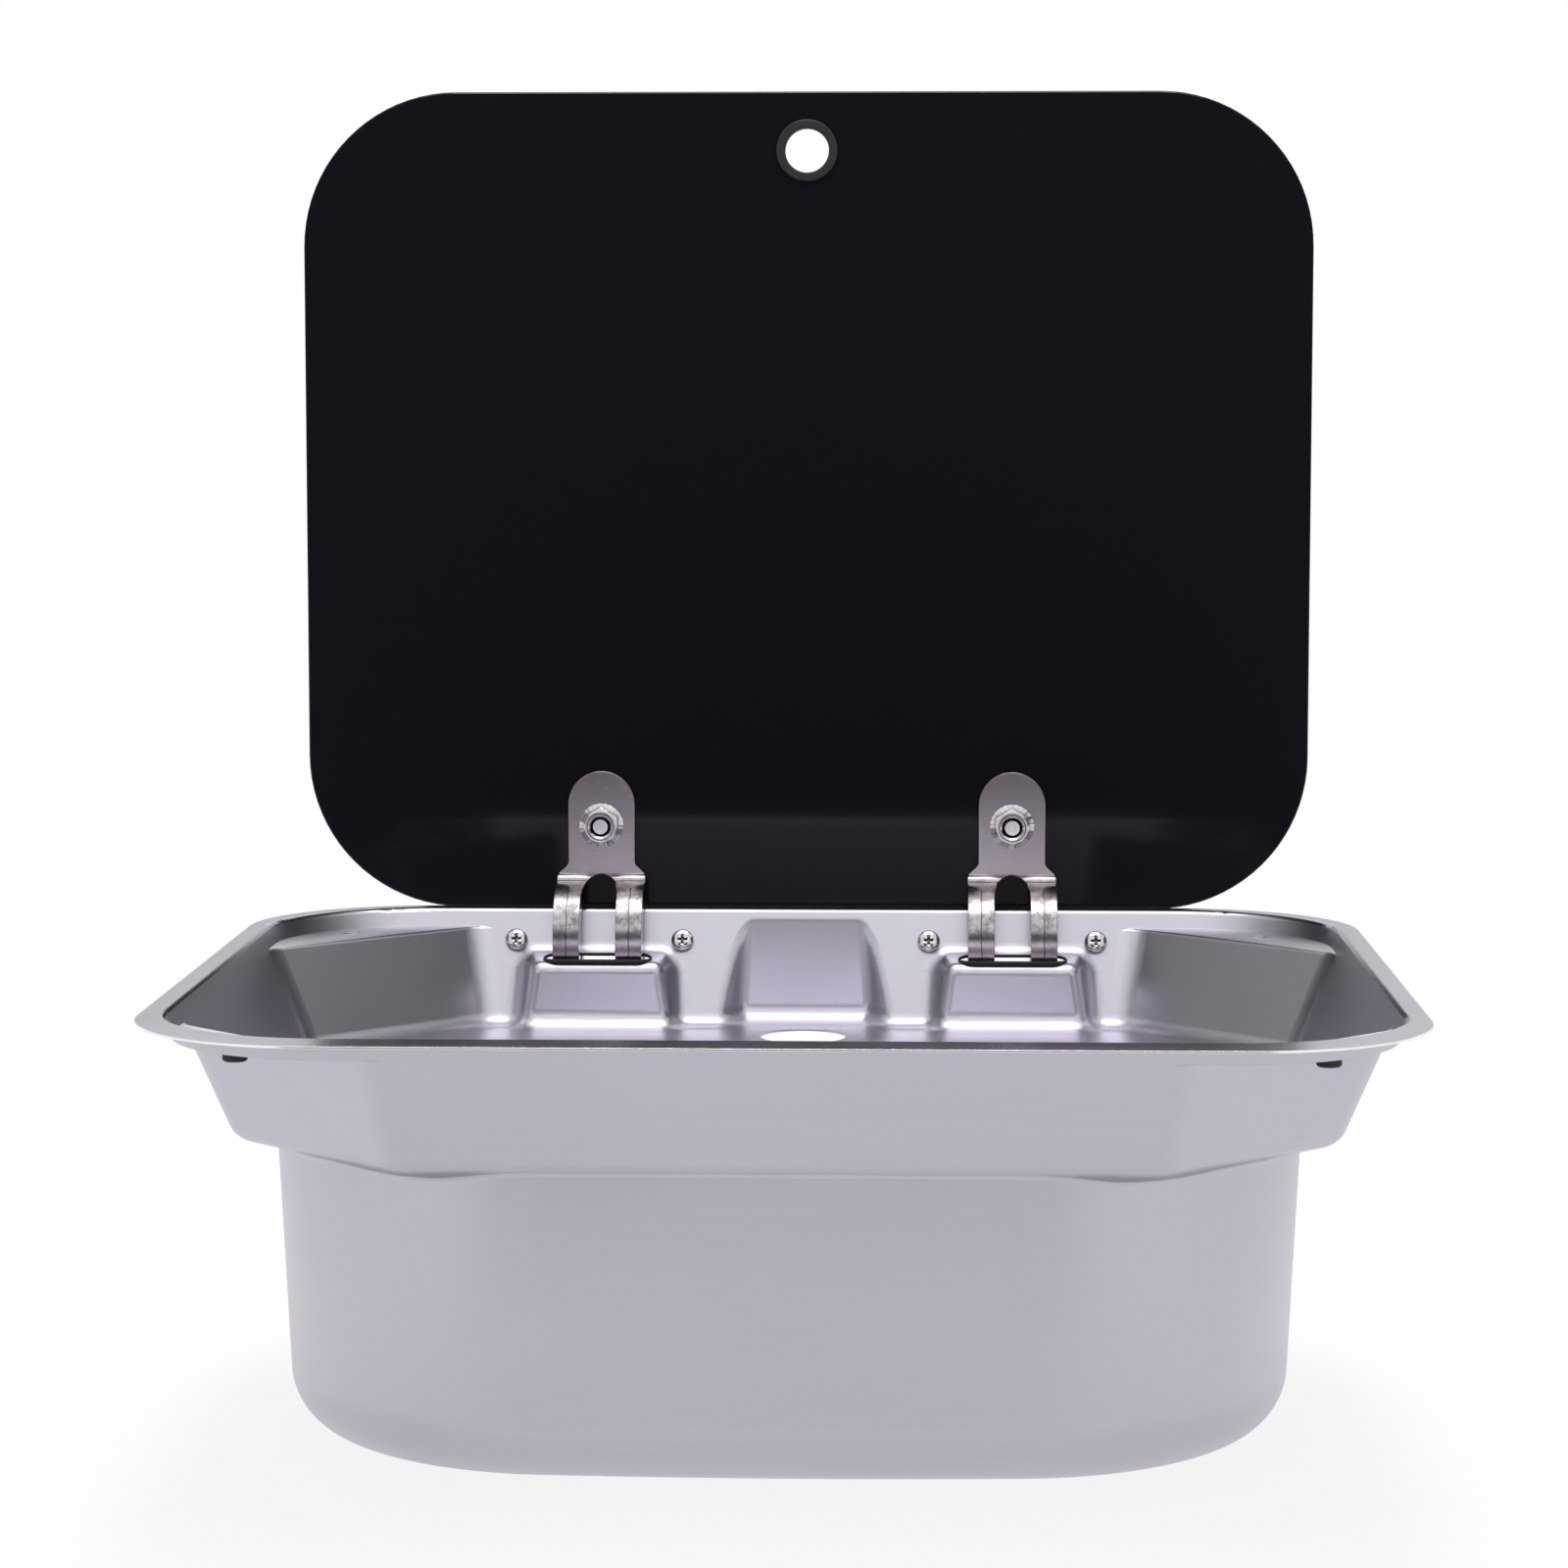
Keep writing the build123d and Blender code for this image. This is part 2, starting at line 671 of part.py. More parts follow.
# Hinge pin with a head at one end and a groove for its clip at the other.
groove_x = ear_outer + side_play
with BuildPart() as hinge_pin:
    with BuildSketch(Plane.XY):
        with BuildLine():
            groove_floor = pin_radius * 0.75
            Polyline(
                (-ear_outer - side_play - pin_head_height, 0),
                (-ear_outer - side_play - pin_head_height, pin_head_radius),
                (-ear_outer - side_play, pin_head_radius),
                (-ear_outer - side_play, pin_radius),
                (groove_x, pin_radius),
                (groove_x, groove_floor),
                (groove_x + clip_sheet + 2 * side_play, groove_floor),
                (groove_x + clip_sheet + 2 * side_play, pin_radius),
                (groove_x + 3 * clip_sheet, pin_radius),
                (groove_x + 3 * clip_sheet, 0),
                close=True,
            )
        make_face()
    revolve(axis=Axis.X)
export_pair(Pos(0, pivot_y, pivot_z) * hinge_pin.part, "hinge_pin")

with BuildPart() as pin_clip:
    with BuildSketch(Plane.YZ.offset(groove_x + side_play)):
        with Locations(from_pivot(0, 0)):
            Circle(clip_radius)
            Circle(groove_floor + running_fit, mode=Mode.SUBTRACT)
            Rectangle(
                clip_gap, 2 * clip_radius, align=(Align.CENTER, Align.MAX), mode=Mode.SUBTRACT
            )
    extrude(amount=clip_sheet)
export_pair(pin_clip.part, "pin_clip")

# Friction washers between the legs and the ears; they hold the lid where it is left.
with BuildPart() as friction_washers:
    for washer_x in (-ear_inner + side_play, arm_width / 2 + side_play):
        with BuildSketch(Plane.YZ.offset(washer_x)):
            with Locations(from_pivot(0, 0)):
                Circle(washer_radius)
                Circle(pin_radius + running_fit, mode=Mode.SUBTRACT)
        extrude(amount=washer_thickness)
export_pair(friction_washers.part, "friction_washers")

# Sleeve on the pin that keeps the two legs apart.
with BuildPart() as pin_sleeve:
    with BuildSketch(Plane.YZ):
        with Locations(from_pivot(0, 0)):
            Circle(hub_radius)
            Circle(pin_radius + running_fit, mode=Mode.SUBTRACT)
    extrude(amount=window_width / 2 - side_play, both=True)
export_pair(pin_sleeve.part, "pin_sleeve")

# Screws through the rear wall, heads inside the tray, nuts behind the hinge base.
with BuildPart() as hinge_screws:
    with BuildSketch(wall_plane.offset(-sheet)):
        with Locations(*pair_places):
            Circle(screw_head_radius)
    extrude(amount=-screw_head_height)
    outwards = Axis(wall_plane.origin, wall_plane.z_dir)
    crowns = hinge_screws.faces().filter_by(outwards).sort_by(outwards)[:2]
    fillet(crowns.edges(), radius=screw_head_height * 0.6)
    with BuildSketch(wall_plane.offset(-sheet)):
        with Locations(*pair_places):
            Circle(screw_radius)
    extrude(amount=sheet + base_sheet + screw_nut_height + screw_end)
export_pair(hinge_screws.part, "hinge_screws")

with BuildPart() as screw_nuts:
    with BuildSketch(wall_plane.offset(base_sheet)):
        with Locations(*pair_places):
            RegularPolygon(screw_nut_flats / 2, 6, major_radius=False)
            Circle(screw_radius + running_fit, mode=Mode.SUBTRACT)
    extrude(amount=screw_nut_height)
export_pair(screw_nuts.part, "screw_nuts")

# Lid bolt: domed head behind the glass, thread end showing in the nut in front.
bolt_tip = plate_front - nut_height + bolt_chamfer
head_seat = glass_back + gasket
dome_radius = (bolt_head_radius**2 + bolt_dome**2) / (2 * bolt_dome)
with BuildPart() as lid_bolt:
    with BuildSketch(Plane.XY):
        with BuildLine():
            Polyline(
                (0, bolt_tip),
                (bolt_radius - bolt_chamfer, bolt_tip),
                (bolt_radius, bolt_tip + bolt_chamfer),
                (bolt_radius, head_seat),
                (bolt_head_radius, head_seat),
                (bolt_head_radius, head_seat + bolt_head_height - bolt_dome),
            )
            RadiusArc(
                (bolt_head_radius, head_seat + bolt_head_height - bolt_dome),
                (0, head_seat + bolt_head_height),
                -dome_radius,
            )
            Line((0, head_seat + bolt_head_height), (0, bolt_tip))
        make_face()
    revolve(axis=Axis.Y)
export_pair(Pos(0, 0, bolt_z) * lid_bolt.part, "lid_bolt")

with BuildPart() as flange_nut:
    with BuildSketch(Plane.XZ.offset(-plate_front)):
        with Locations((0, bolt_z)):
            Circle(nut_flange_radius)
    extrude(amount=nut_flange_height)
    with BuildSketch(Plane.XZ.offset(-plate_front)):
        with Locations((0, bolt_z)):
            RegularPolygon(nut_flats / 2, 6, major_radius=False)
    extrude(amount=nut_height)
    with BuildSketch(Plane.XZ.offset(-plate_front)):
        with Locations((0, bolt_z)):
            Circle(bolt_radius + running_fit)
    extrude(amount=nut_height, mode=Mode.SUBTRACT)
export_pair(flange_nut.part, "flange_nut")

# Gaskets that keep steel off the glass: the plate's outline in front, a ring behind.
with BuildPart() as glass_gasket:
    with BuildSketch(Plane.XZ.offset(-plate_back)):
        pad_width = plate_width - 2 * gasket_inset
        pad_low = pivot_z + bend_up + gasket_inset
        pad_high = rim_top + plate_top - gasket_inset
        with Locations((0, pad_high - pad_width / 2)):
            Circle(pad_width / 2)
        with Locations((0, pad_low)):
            Rectangle(
                pad_width, pad_high - pad_width / 2 - pad_low, align=(Align.CENTER, Align.MIN)
            )
        with Locations((0, bolt_z)):
            Circle(bolt_radius + bolt_fit, mode=Mode.SUBTRACT)
    extrude(amount=-gasket)
export_pair(glass_gasket.part, "glass_gasket")

with BuildPart() as bolt_washer:
    with BuildSketch(Plane.XZ.offset(-glass_back)):
        with Locations((0, bolt_z)):
            Circle(back_washer_radius)
            Circle(bolt_radius + bolt_fit, mode=Mode.SUBTRACT)
    extrude(amount=-gasket)
export_pair(bolt_washer.part, "bolt_washer")
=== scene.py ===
# %% [markdown]
# # A drop-in sink with a folding black glass lid
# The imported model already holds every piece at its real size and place. This lesson
# dresses it: brushed stainless steel, black glass, rubber, and the small fasteners,
# which are modelled again here with their threads, serrations and driver recesses.

# %% Load the frame
import math

import bmesh
import bpy
from mathutils import Matrix, Vector


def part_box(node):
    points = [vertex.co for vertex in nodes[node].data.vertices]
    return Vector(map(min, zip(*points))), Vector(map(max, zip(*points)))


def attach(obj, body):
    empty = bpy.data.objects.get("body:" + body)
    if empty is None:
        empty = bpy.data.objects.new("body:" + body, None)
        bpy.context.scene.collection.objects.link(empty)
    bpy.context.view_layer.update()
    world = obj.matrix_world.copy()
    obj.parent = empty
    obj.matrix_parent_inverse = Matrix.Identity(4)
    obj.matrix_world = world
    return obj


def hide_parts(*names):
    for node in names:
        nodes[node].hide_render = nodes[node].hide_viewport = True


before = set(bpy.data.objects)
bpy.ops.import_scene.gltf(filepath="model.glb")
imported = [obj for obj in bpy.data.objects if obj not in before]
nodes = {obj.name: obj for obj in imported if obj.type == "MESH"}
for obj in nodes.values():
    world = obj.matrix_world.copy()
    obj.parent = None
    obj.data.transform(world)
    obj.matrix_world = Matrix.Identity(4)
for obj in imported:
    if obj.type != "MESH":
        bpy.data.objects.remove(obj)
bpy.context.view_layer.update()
print("pieces in the frame:", len(nodes))

# %% [markdown]
# ## Where things are
# Lengths are written in millimetres, as on a drawing, and turned into metres by one
# helper. The rim, the lid and the hinges are found in the frame. The seats of the small
# fasteners are written out further down, in the same millimetres.

# %% Units and places
MM = 0.001


def mm(*lengths):
    """Millimetres to metres, as a vector."""
    return Vector(length * MM for length in lengths)


def middle(node):
    low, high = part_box(node)
    return (Vector(low) + Vector(high)) / 2


SIDES = ("left", "right")
hinge_x = middle("hinge_arm_right").x
lid_low, lid_high = (Vector(corner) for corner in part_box("glass_lid"))
rim_low, rim_high = (Vector(corner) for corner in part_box("basin"))
print("hinges at x = +-", round(hinge_x / MM, 1), "mm; lid", (lid_high - lid_low) / MM)

# %% [markdown]
# ## A small kit for materials
# Each finish is a node tree. The helpers below only save typing: one adds a node and
# fills its sockets, the other starts a material with its main shader.


# %% Nodes and materials
def add_node(tree, kind, **sockets):
    """Adds a shader node; sockets are given by name, with spaces written as _."""
    node = tree.nodes.new(kind)
    for name, value in sockets.items():
        node.inputs[name.replace("_", " ")].default_value = value
    return node


def start_material(name, **sockets):
    material = bpy.data.materials.new(name)
    material.use_nodes = True
    tree = material.node_tree
    shader = tree.nodes["Principled BSDF"]
    for socket, value in sockets.items():
        shader.inputs[socket.replace("_", " ")].default_value = value
    material.diffuse_color = shader.inputs["Base Color"].default_value
    return material, tree, shader


print("nodes and materials can be made")

# %% [markdown]
# No real surface is even, so every finish is varied by noise. It lies on the object's own
# coordinates, and so it keeps its size and place whichever way the object is turned.


# %% Noise and bump
def stretched_noise(tree, stretch, scale, detail=4.0, roughness=0.6):
    """Noise on the object's own coordinates, squeezed or drawn out along each axis."""
    place = tree.nodes.new("ShaderNodeTexCoord")
    mapping = add_node(tree, "ShaderNodeMapping", Scale=stretch)
    tree.links.new(place.outputs["Object"], mapping.inputs["Vector"])
    noise = add_node(
        tree, "ShaderNodeTexNoise", Scale=scale, Detail=detail, Roughness=roughness
    )
    tree.links.new(mapping.outputs["Vector"], noise.inputs["Vector"])
    return noise


def add_bump(tree, shader, height, strength, distance):
    bump = add_node(tree, "ShaderNodeBump", Strength=strength, Distance=distance)
    tree.links.new(height, bump.inputs["Height"])
    tree.links.new(bump.outputs["Normal"], shader.inputs["Normal"])
    return bump


print("noise and bump ready")

# %% [markdown]
# Noise is a value from 0 to 1. A finish maps it onto a range of roughness, works on it
# with plain arithmetic, or mixes two colours by it.


# %% Arithmetic and colour
def math_step(tree, operation, first, second=0.0):
    """One step of arithmetic; each value is an output of the tree or a plain number."""
    step = add_node(tree, "ShaderNodeMath")
    step.operation = operation
    for socket, value in zip(step.inputs, (first, second)):
        if isinstance(value, (int, float)):
            socket.default_value = value
        else:
            tree.links.new(value, socket)
    return step.outputs["Value"]


def mix_colour(tree, factor, first, second):
    """Goes from the first colour to the second; each is an output or a plain colour."""
    mix = add_node(tree, "ShaderNodeMix")
    mix.data_type = "RGBA"
    tree.links.new(factor, mix.inputs["Factor"])
    for name, colour in (("A", first), ("B", second)):
        if isinstance(colour, tuple):
            mix.inputs[name].default_value = colour
        else:
            tree.links.new(colour, mix.inputs[name])
    return mix.outputs["Result"]


def own_axes(tree):
    """The object's own coordinates, which are the frame's, split into X, Y and Z."""
    place = tree.nodes.new("ShaderNodeTexCoord")
    axes = tree.nodes.new("ShaderNodeSeparateXYZ")
    tree.links.new(place.outputs["Object"], axes.inputs["Vector"])
    return axes.outputs


def ramp(tree, source, start, end, low=0.0, high=1.0):
    """Maps the stretch from start to end onto the one from low to high."""
    span = add_node(
        tree, "ShaderNodeMapRange", From_Min=start, From_Max=end, To_Min=low, To_Max=high
    )
    tree.links.new(source, span.inputs["Value"])
    return span.outputs["Result"]


print("arithmetic and colour ready")

# %% [markdown]
# ## Brushed stainless steel
# The basin is pressed from satin sheet whose grain runs from side to side. Brushing is
# a very fine noise drawn out along X: it varies the roughness a little and gives a
# relief of at most a hundredth of a millimetre, so that highlights spread across the
# grain. A second, broad noise gives the cloudy finish that handled steel has. A Bevel
# node rounds the shading of every edge by a fraction of a millimetre, as deburring does.

# %% Steel
EVEN = (1.0, 1.0, 1.0)
GRAIN_ROUGH, CLOUD_ROUGH, CLOUD_SCALE = 0.07, 0.04, 14.0
GRAIN_DARK, GRAIN_LIGHT = 0.93, 1.05
GRAIN_HEIGHT = 0.01


def brushed_steel(name, tone, rough, grain=(6.0, 900.0, 900.0), lift=0.35, edge=0.35):
    material, tree, shader = start_material(
        name, Base_Color=(*tone, 1.0), Metallic=1.0, Roughness=rough
    )
    lines = stretched_noise(tree, grain, 1.0, detail=5.0, roughness=0.7).outputs["Fac"]
    clouds = stretched_noise(tree, EVEN, CLOUD_SCALE, detail=3.0).outputs["Fac"]
    grain_rough = ramp(tree, lines, 0.0, 1.0, rough - GRAIN_ROUGH, rough + GRAIN_ROUGH)
    cloud_rough = ramp(tree, clouds, 0.0, 1.0, -CLOUD_ROUGH, CLOUD_ROUGH)
    total = math_step(tree, "ADD", grain_rough, cloud_rough)
    tree.links.new(total, shader.inputs["Roughness"])
    dark = (*(channel * GRAIN_DARK for channel in tone), 1.0)
    light = (*(min(channel * GRAIN_LIGHT, 1.0) for channel in tone), 1.0)
    shade = mix_colour(tree, lines, dark, light)
    tree.links.new(shade, shader.inputs["Base Color"])
    bump = add_bump(tree, shader, lines, lift, GRAIN_HEIGHT * MM)
    soft_edge = add_node(tree, "ShaderNodeBevel", Radius=edge * MM)
    tree.links.new(soft_edge.outputs["Normal"], bump.inputs["Normal"])
    return material, tree, shader, shade


STAINLESS_TONE, PLATED_TONE = (0.53, 0.505, 0.57), (0.62, 0.59, 0.60)
basin_steel, basin_tree, basin_shader, basin_shade = brushed_steel(
    "satin stainless steel", STAINLESS_TONE, 0.34
)
bright_steel, bright_tree, bright_shader, bright_shade = brushed_steel(
    "bright plated steel", PLATED_TONE, 0.14, grain=(300.0, 300.0, 300.0), lift=0.05, edge=0.1
)
print("steels:", basin_steel.name, bright_steel.name)

# %% [markdown]
# The creases of the small fasteners are darkened with painted shade. Ambient occlusion finds
# them: it is low where something stands within a millimetre or two.

# %% Creases
CREASE_REACH, CREASE_SAMPLES = 1.6, 8
SHUT, OPEN = 0.45, 1.0
CREASE_SHADE = (0.06, 0.055, 0.055, 1.0)
crease = add_node(bright_tree, "ShaderNodeAmbientOcclusion", Distance=CREASE_REACH * MM)
crease.samples = CREASE_SAMPLES
openness = ramp(bright_tree, crease.outputs["AO"], SHUT, OPEN)
# Painted shade: where occlusion is low, the colour goes towards a near black.
bright_tree.links.new(
    mix_colour(bright_tree, openness, CREASE_SHADE, bright_shade), bright_shader.inputs["Base Color"]
)
print("creases darkened")

# %% [markdown]
# ## Pressed hinge steel
# The arms and the hinge bases are a second sheet, greyer than the basin. The arms have a
# short, fine grain, and their edges are softened more than those of the bases.

# %% Hinge steel
HINGE_TONE = (0.42, 0.385, 0.405)
plain_hinge_steel, _, _, _ = brushed_steel("plain hinge steel", HINGE_TONE, 0.3)
hinge_steel, hinge_tree, hinge_shader, hinge_shade = brushed_steel(
    "pressed hinge steel", HINGE_TONE, 0.24, grain=(400.0, 400.0, 2500.0), lift=0.08, edge=0.55
)
print("hinge steels:", plain_hinge_steel.name, hinge_steel.name)

# %% [markdown]
# In the photograph a dark seam runs down the middle of each leg. It is found from X, as
# the distance to the middle of the nearest leg, and noise makes it wander a little.

# %% Seam of the legs
LEG_MIDDLE, SEAM_HALF, SEAM_TOP, SEAM_DEPTH = 12.175, 0.28, 9.5, 0.85
SEAM_WANDER, SEAM_NOISE = 0.6, 160.0
axes = own_axes(hinge_tree)
across = math_step(hinge_tree, "ABSOLUTE", axes["X"])
across = math_step(hinge_tree, "SUBTRACT", across, hinge_x)
across = math_step(hinge_tree, "ABSOLUTE", across)
across = math_step(hinge_tree, "SUBTRACT", across, LEG_MIDDLE * MM)
wander = stretched_noise(hinge_tree, EVEN, SEAM_NOISE, detail=2.0).outputs["Fac"]
wander = ramp(hinge_tree, wander, 0.0, 1.0, -SEAM_WANDER * MM, SEAM_WANDER * MM)
across = math_step(hinge_tree, "ADD", across, wander)
across = math_step(hinge_tree, "ABSOLUTE", across)
in_seam = math_step(hinge_tree, "LESS_THAN", across, SEAM_HALF * MM)
on_leg = math_step(hinge_tree, "LESS_THAN", axes["Z"], SEAM_TOP * MM)
seam = math_step(hinge_tree, "MULTIPLY", in_seam, on_leg)
seam = math_step(hinge_tree, "MULTIPLY", seam, SEAM_DEPTH)
print("seam", 2 * SEAM_HALF, "mm wide")

# %% [markdown]
# The legs are stained too. The stains are patches of noise that fade out towards the
# plate and low on the leg. Where seam and stain meet, the darker one counts.

# %% Stains of the legs
STAIN_NOISE, STAIN_NONE, STAIN_ALL = 230.0, 0.46, 0.60
STAIN_CLEAR, STAIN_FULL, STAIN_DEPTH = 16.0, 6.0, 0.75
LOW_START, LOW_END, LOW_SHARE = -14.0, -2.0, 0.15
STAIN_TONE = (0.10, 0.09, 0.09, 1.0)
stains = stretched_noise(hinge_tree, EVEN, STAIN_NOISE, detail=6.0, roughness=0.75)
patches = ramp(hinge_tree, stains.outputs["Fac"], STAIN_NONE, STAIN_ALL)
near_bend = ramp(hinge_tree, axes["Z"], STAIN_CLEAR * MM, STAIN_FULL * MM, high=STAIN_DEPTH)
low_fade = ramp(hinge_tree, axes["Z"], LOW_START * MM, LOW_END * MM, low=LOW_SHARE)
marks = math_step(hinge_tree, "MULTIPLY", patches, near_bend)
marks = math_step(hinge_tree, "MULTIPLY", marks, low_fade)
marks = math_step(hinge_tree, "MAXIMUM", marks, seam)
hinge_tree.links.new(
    mix_colour(hinge_tree, marks, hinge_shade, STAIN_TONE), hinge_shader.inputs["Base Color"]
)
print("legs marked")

# %% [markdown]
# ### The rim's cut edge
# All round the rim the sheet ends in a cut edge, whose colour is painted near white: a painted
# highlight that shows as a thin white line. It is found as the last quarter millimetre of a
# rounded rectangle.

# %% Cut edge
RIM_CORNER, EDGE_BAND = 65.0, 0.25
PAINTED_EDGE_HIGHLIGHT = (0.93, 0.92, 0.94, 1.0)
rim_axes = own_axes(basin_tree)
squares = []
for axis, half in (("X", rim_high.x), ("Y", -rim_low.y)):
    out = math_step(basin_tree, "ABSOLUTE", rim_axes[axis])
    out = math_step(basin_tree, "SUBTRACT", out, half - RIM_CORNER * MM)
    out = math_step(basin_tree, "MAXIMUM", out, 0.0)
    squares.append(math_step(basin_tree, "MULTIPLY", out, out))
from_corner = math_step(basin_tree, "SQRT", math_step(basin_tree, "ADD", *squares))
edge_highlight_band = math_step(basin_tree, "GREATER_THAN", from_corner, (RIM_CORNER - EDGE_BAND) * MM)
# Painted highlight: the last quarter millimetre of the rim gets a near-white colour.
basin_tree.links.new(
    mix_colour(basin_tree, edge_highlight_band, basin_shade, PAINTED_EDGE_HIGHLIGHT), basin_shader.inputs["Base Color"]
)
print("cut edge ready")

# %% [markdown]
# The flat flange is smoother than the drawn walls, so it mirrors what stands behind it.

# %% Flange
FLANGE_FROM, SMOOTHER = -0.4, 0.13
satin = basin_shader.inputs["Roughness"].links[0].from_socket
on_flange = math_step(basin_tree, "GREATER_THAN", rim_axes["Z"], FLANGE_FROM * MM)
flange_gain = math_step(basin_tree, "MULTIPLY", on_flange, SMOOTHER)
basin_tree.links.new(
    math_step(basin_tree, "SUBTRACT", satin, flange_gain), basin_shader.inputs["Roughness"]
)
print("flange smoothed")

# %% [markdown]
# ## Black glass and rubber
# The lid is opaque glass, black right through, so it needs no see-through shader: a
# near-black base under a smooth surface, whose shine is set lower than glass has, to
# match the picture. A faint haze, as wiping leaves, moves the roughness by a hair.

# %% Black glass
GLASS_SHINE, HAZE_SCALE, HAZE_LOW, HAZE_HIGH = 0.1, 6.0, 0.02, 0.09
black_glass, glass_tree, glass_shader = start_material(
    "black toughened glass", Base_Color=(0.0090, 0.0085, 0.0115, 1.0), Roughness=0.04
)
glass_shader.inputs["IOR"].default_value = 1.5
glass_shader.inputs["Specular IOR Level"].default_value = GLASS_SHINE
haze = stretched_noise(glass_tree, EVEN, HAZE_SCALE, detail=3.0).outputs["Fac"]
haze_rough = ramp(glass_tree, haze, 0.0, 1.0, HAZE_LOW, HAZE_HIGH)
glass_tree.links.new(haze_rough, glass_shader.inputs["Roughness"])
print("made:", black_glass.name)

# %% [markdown]
# The grommet, buffers, gaskets, bolt washers and slot edgings are rubber. The washers and
# sleeves on the hinge pins are nylon. Both are matte, with a fine skin of grain.

# %% Rubber and nylon
SKIN_ROUGH, SKIN_BUMP, SKIN_HEIGHT = 0.1, 0.3, 0.05


def matte_black(name, tone, rough, grain_scale):
    material, tree, shader = start_material(
        name, Base_Color=(tone, tone, tone, 1.0), Roughness=rough
    )
    grain = stretched_noise(tree, EVEN, grain_scale, detail=3.0).outputs["Fac"]
    grain_rough = ramp(tree, grain, 0.0, 1.0, rough - SKIN_ROUGH, rough + SKIN_ROUGH)
    tree.links.new(grain_rough, shader.inputs["Roughness"])
    add_bump(tree, shader, grain, SKIN_BUMP, SKIN_HEIGHT * MM)
    return material


black_rubber = matte_black("black rubber", 0.012, 0.62, 900.0)
black_nylon = matte_black("black nylon", 0.02, 0.45, 400.0)
print("made:", black_rubber.name, "and", black_nylon.name)

# %% [markdown]
# Each piece of the frame gets its finish by name. Left and right pieces share one.

# %% Finishes
finish_of = {
    "basin": basin_steel,
    "glass_lid": black_glass,
    "finger_grommet": black_rubber,
    "front_buffer": black_rubber,
    "glass_gasket": black_rubber,
    "bolt_washer": black_rubber,
    "hinge_arm": hinge_steel,
    "hinge_base": plain_hinge_steel,
    "hinge_pin": bright_steel,
    "pin_clip": bright_steel,
    "hinge_screws": bright_steel,
    "screw_nuts": bright_steel,
    "lid_bolt": bright_steel,
    "flange_nut": bright_steel,
    "friction_washers": black_nylon,
    "pin_sleeve": black_nylon,
}
for name, piece in nodes.items():
    family = name.removesuffix("_left").removesuffix("_right")
    piece.data.materials.clear()
    piece.data.materials.append(finish_of[family])
print("dressed:", len(nodes))

# %% [markdown]
# ## Fasteners
# The frame's nuts and screws are plain bodies of the right size. Here each is turned,
# chamfered, threaded and recessed like the real thing, inside the same outline. A
# fastener is drawn standing on its seat at Z = 0, with Z as its axis, and is then moved
# to its place. It rides the body of the piece that it replaces.
#
# Most of a fastener is turned. A profile of radius and height becomes rings of vertices,
# and the rings are joined by faces.


# %% Turning
def ring(bm, steps, radius, height):
    """A loop of vertices about Z; radius and height are numbers or follow the angle."""
    loop = []
    for step in range(steps):
        angle = math.tau * step / steps
        reach = radius(angle) if callable(radius) else radius
        level = height(angle) if callable(height) else height
        loop.append(bm.verts.new(mm(reach * math.cos(angle), reach * math.sin(angle), level)))
    return loop


def join_rings(bm, rings):
    for lower, upper in zip(rings, rings[1:]):
        for here in range(len(lower)):
            after = (here + 1) % len(lower)
            bm.faces.new((lower[here], lower[after], upper[after], upper[here]))


def cap_ends(bm, rings):
    bm.faces.new(reversed(rings[0]))
    bm.faces.new(rings[-1])


def turn(bm, profile, steps=72, hollow=False):
    """Turns a profile of radius and height pairs about Z, as on a lathe."""
    rings = [ring(bm, steps, radius, height) for radius, height in profile]
    if hollow:
        join_rings(bm, rings + rings[:1])
    else:
        join_rings(bm, rings)
        cap_ends(bm, rings)


print("turning ready")

# %% [markdown]
# Nuts and sockets are hexagons. Their side is a radius that follows the angle, so that
# the same lathe makes them, and a cone of 30 degrees cuts back the corners of a nut.

# %% Hexagons
CHAMFER_SLOPE = math.tan(math.radians(30.0))


def hex_reach(flats, corner):
    """From the middle to the side of a hexagon, by angle; one corner points at corner."""

    def reach(angle):
        off_flat = (angle - corner) % (math.pi / 3) - math.pi / 6
        return flats / 2 / math.cos(off_flat)

    return reach


def hex_chamfer(side, height, flat_radius):
    """Height of a nut's side, by angle, where a cone cuts back its corners."""
    return lambda angle: height - (side(angle) - flat_radius) * CHAMFER_SLOPE


print("hexagons ready")

# %% [markdown]
# A thread is a ridge wound round the shank. It is real geometry, because the threaded
# ends of the lid bolts show in the photograph. Its section is measured in pitches.

# %% Threads
HALF_ROOT, HALF_CREST = 0.44, 0.07


def thread(bm, radius, depth, pitch, start, end, steps=32):
    """A ridge of triangular section that climbs round a shank from start to end."""
    root = radius - depth
    outline = ((root, -HALF_ROOT), (radius, -HALF_CREST), (radius, HALF_CREST), (root, HALF_ROOT))
    sections = []
    for step in range(int(((end - start) / pitch - 1) * steps) + 1):
        angle = math.tau * step / steps
        level = start + pitch * (0.5 + step / steps)
        section = []
        for reach, lift in outline:
            spot = mm(reach * math.cos(angle), reach * math.sin(angle), level + lift * pitch)
            section.append(bm.verts.new(spot))
        sections.append(section)
    join_rings(bm, sections)
    cap_ends(bm, sections)


print("threads ready")

# %% [markdown]
# A seat is a point and an axis. The same recipe is drawn once for each seat, and edges
# sharper than 28 degrees are kept crisp while all else is shaded smooth.

# %% Placing
SHARP_ANGLE = math.radians(28.0)


def seat(place, axis):
    """The move from the drawing position to a seat, with Z turned along the axis."""
    return Matrix.Translation(place) @ axis.to_track_quat("Z", "Y").to_matrix().to_4x4()


def place_each(bm, recipe, seats):
    for move in seats:
        before = set(bm.verts)
        recipe(bm)
        fresh = [corner for corner in bm.verts if corner not in before]
        bmesh.ops.transform(bm, matrix=move, verts=fresh)
    return bm


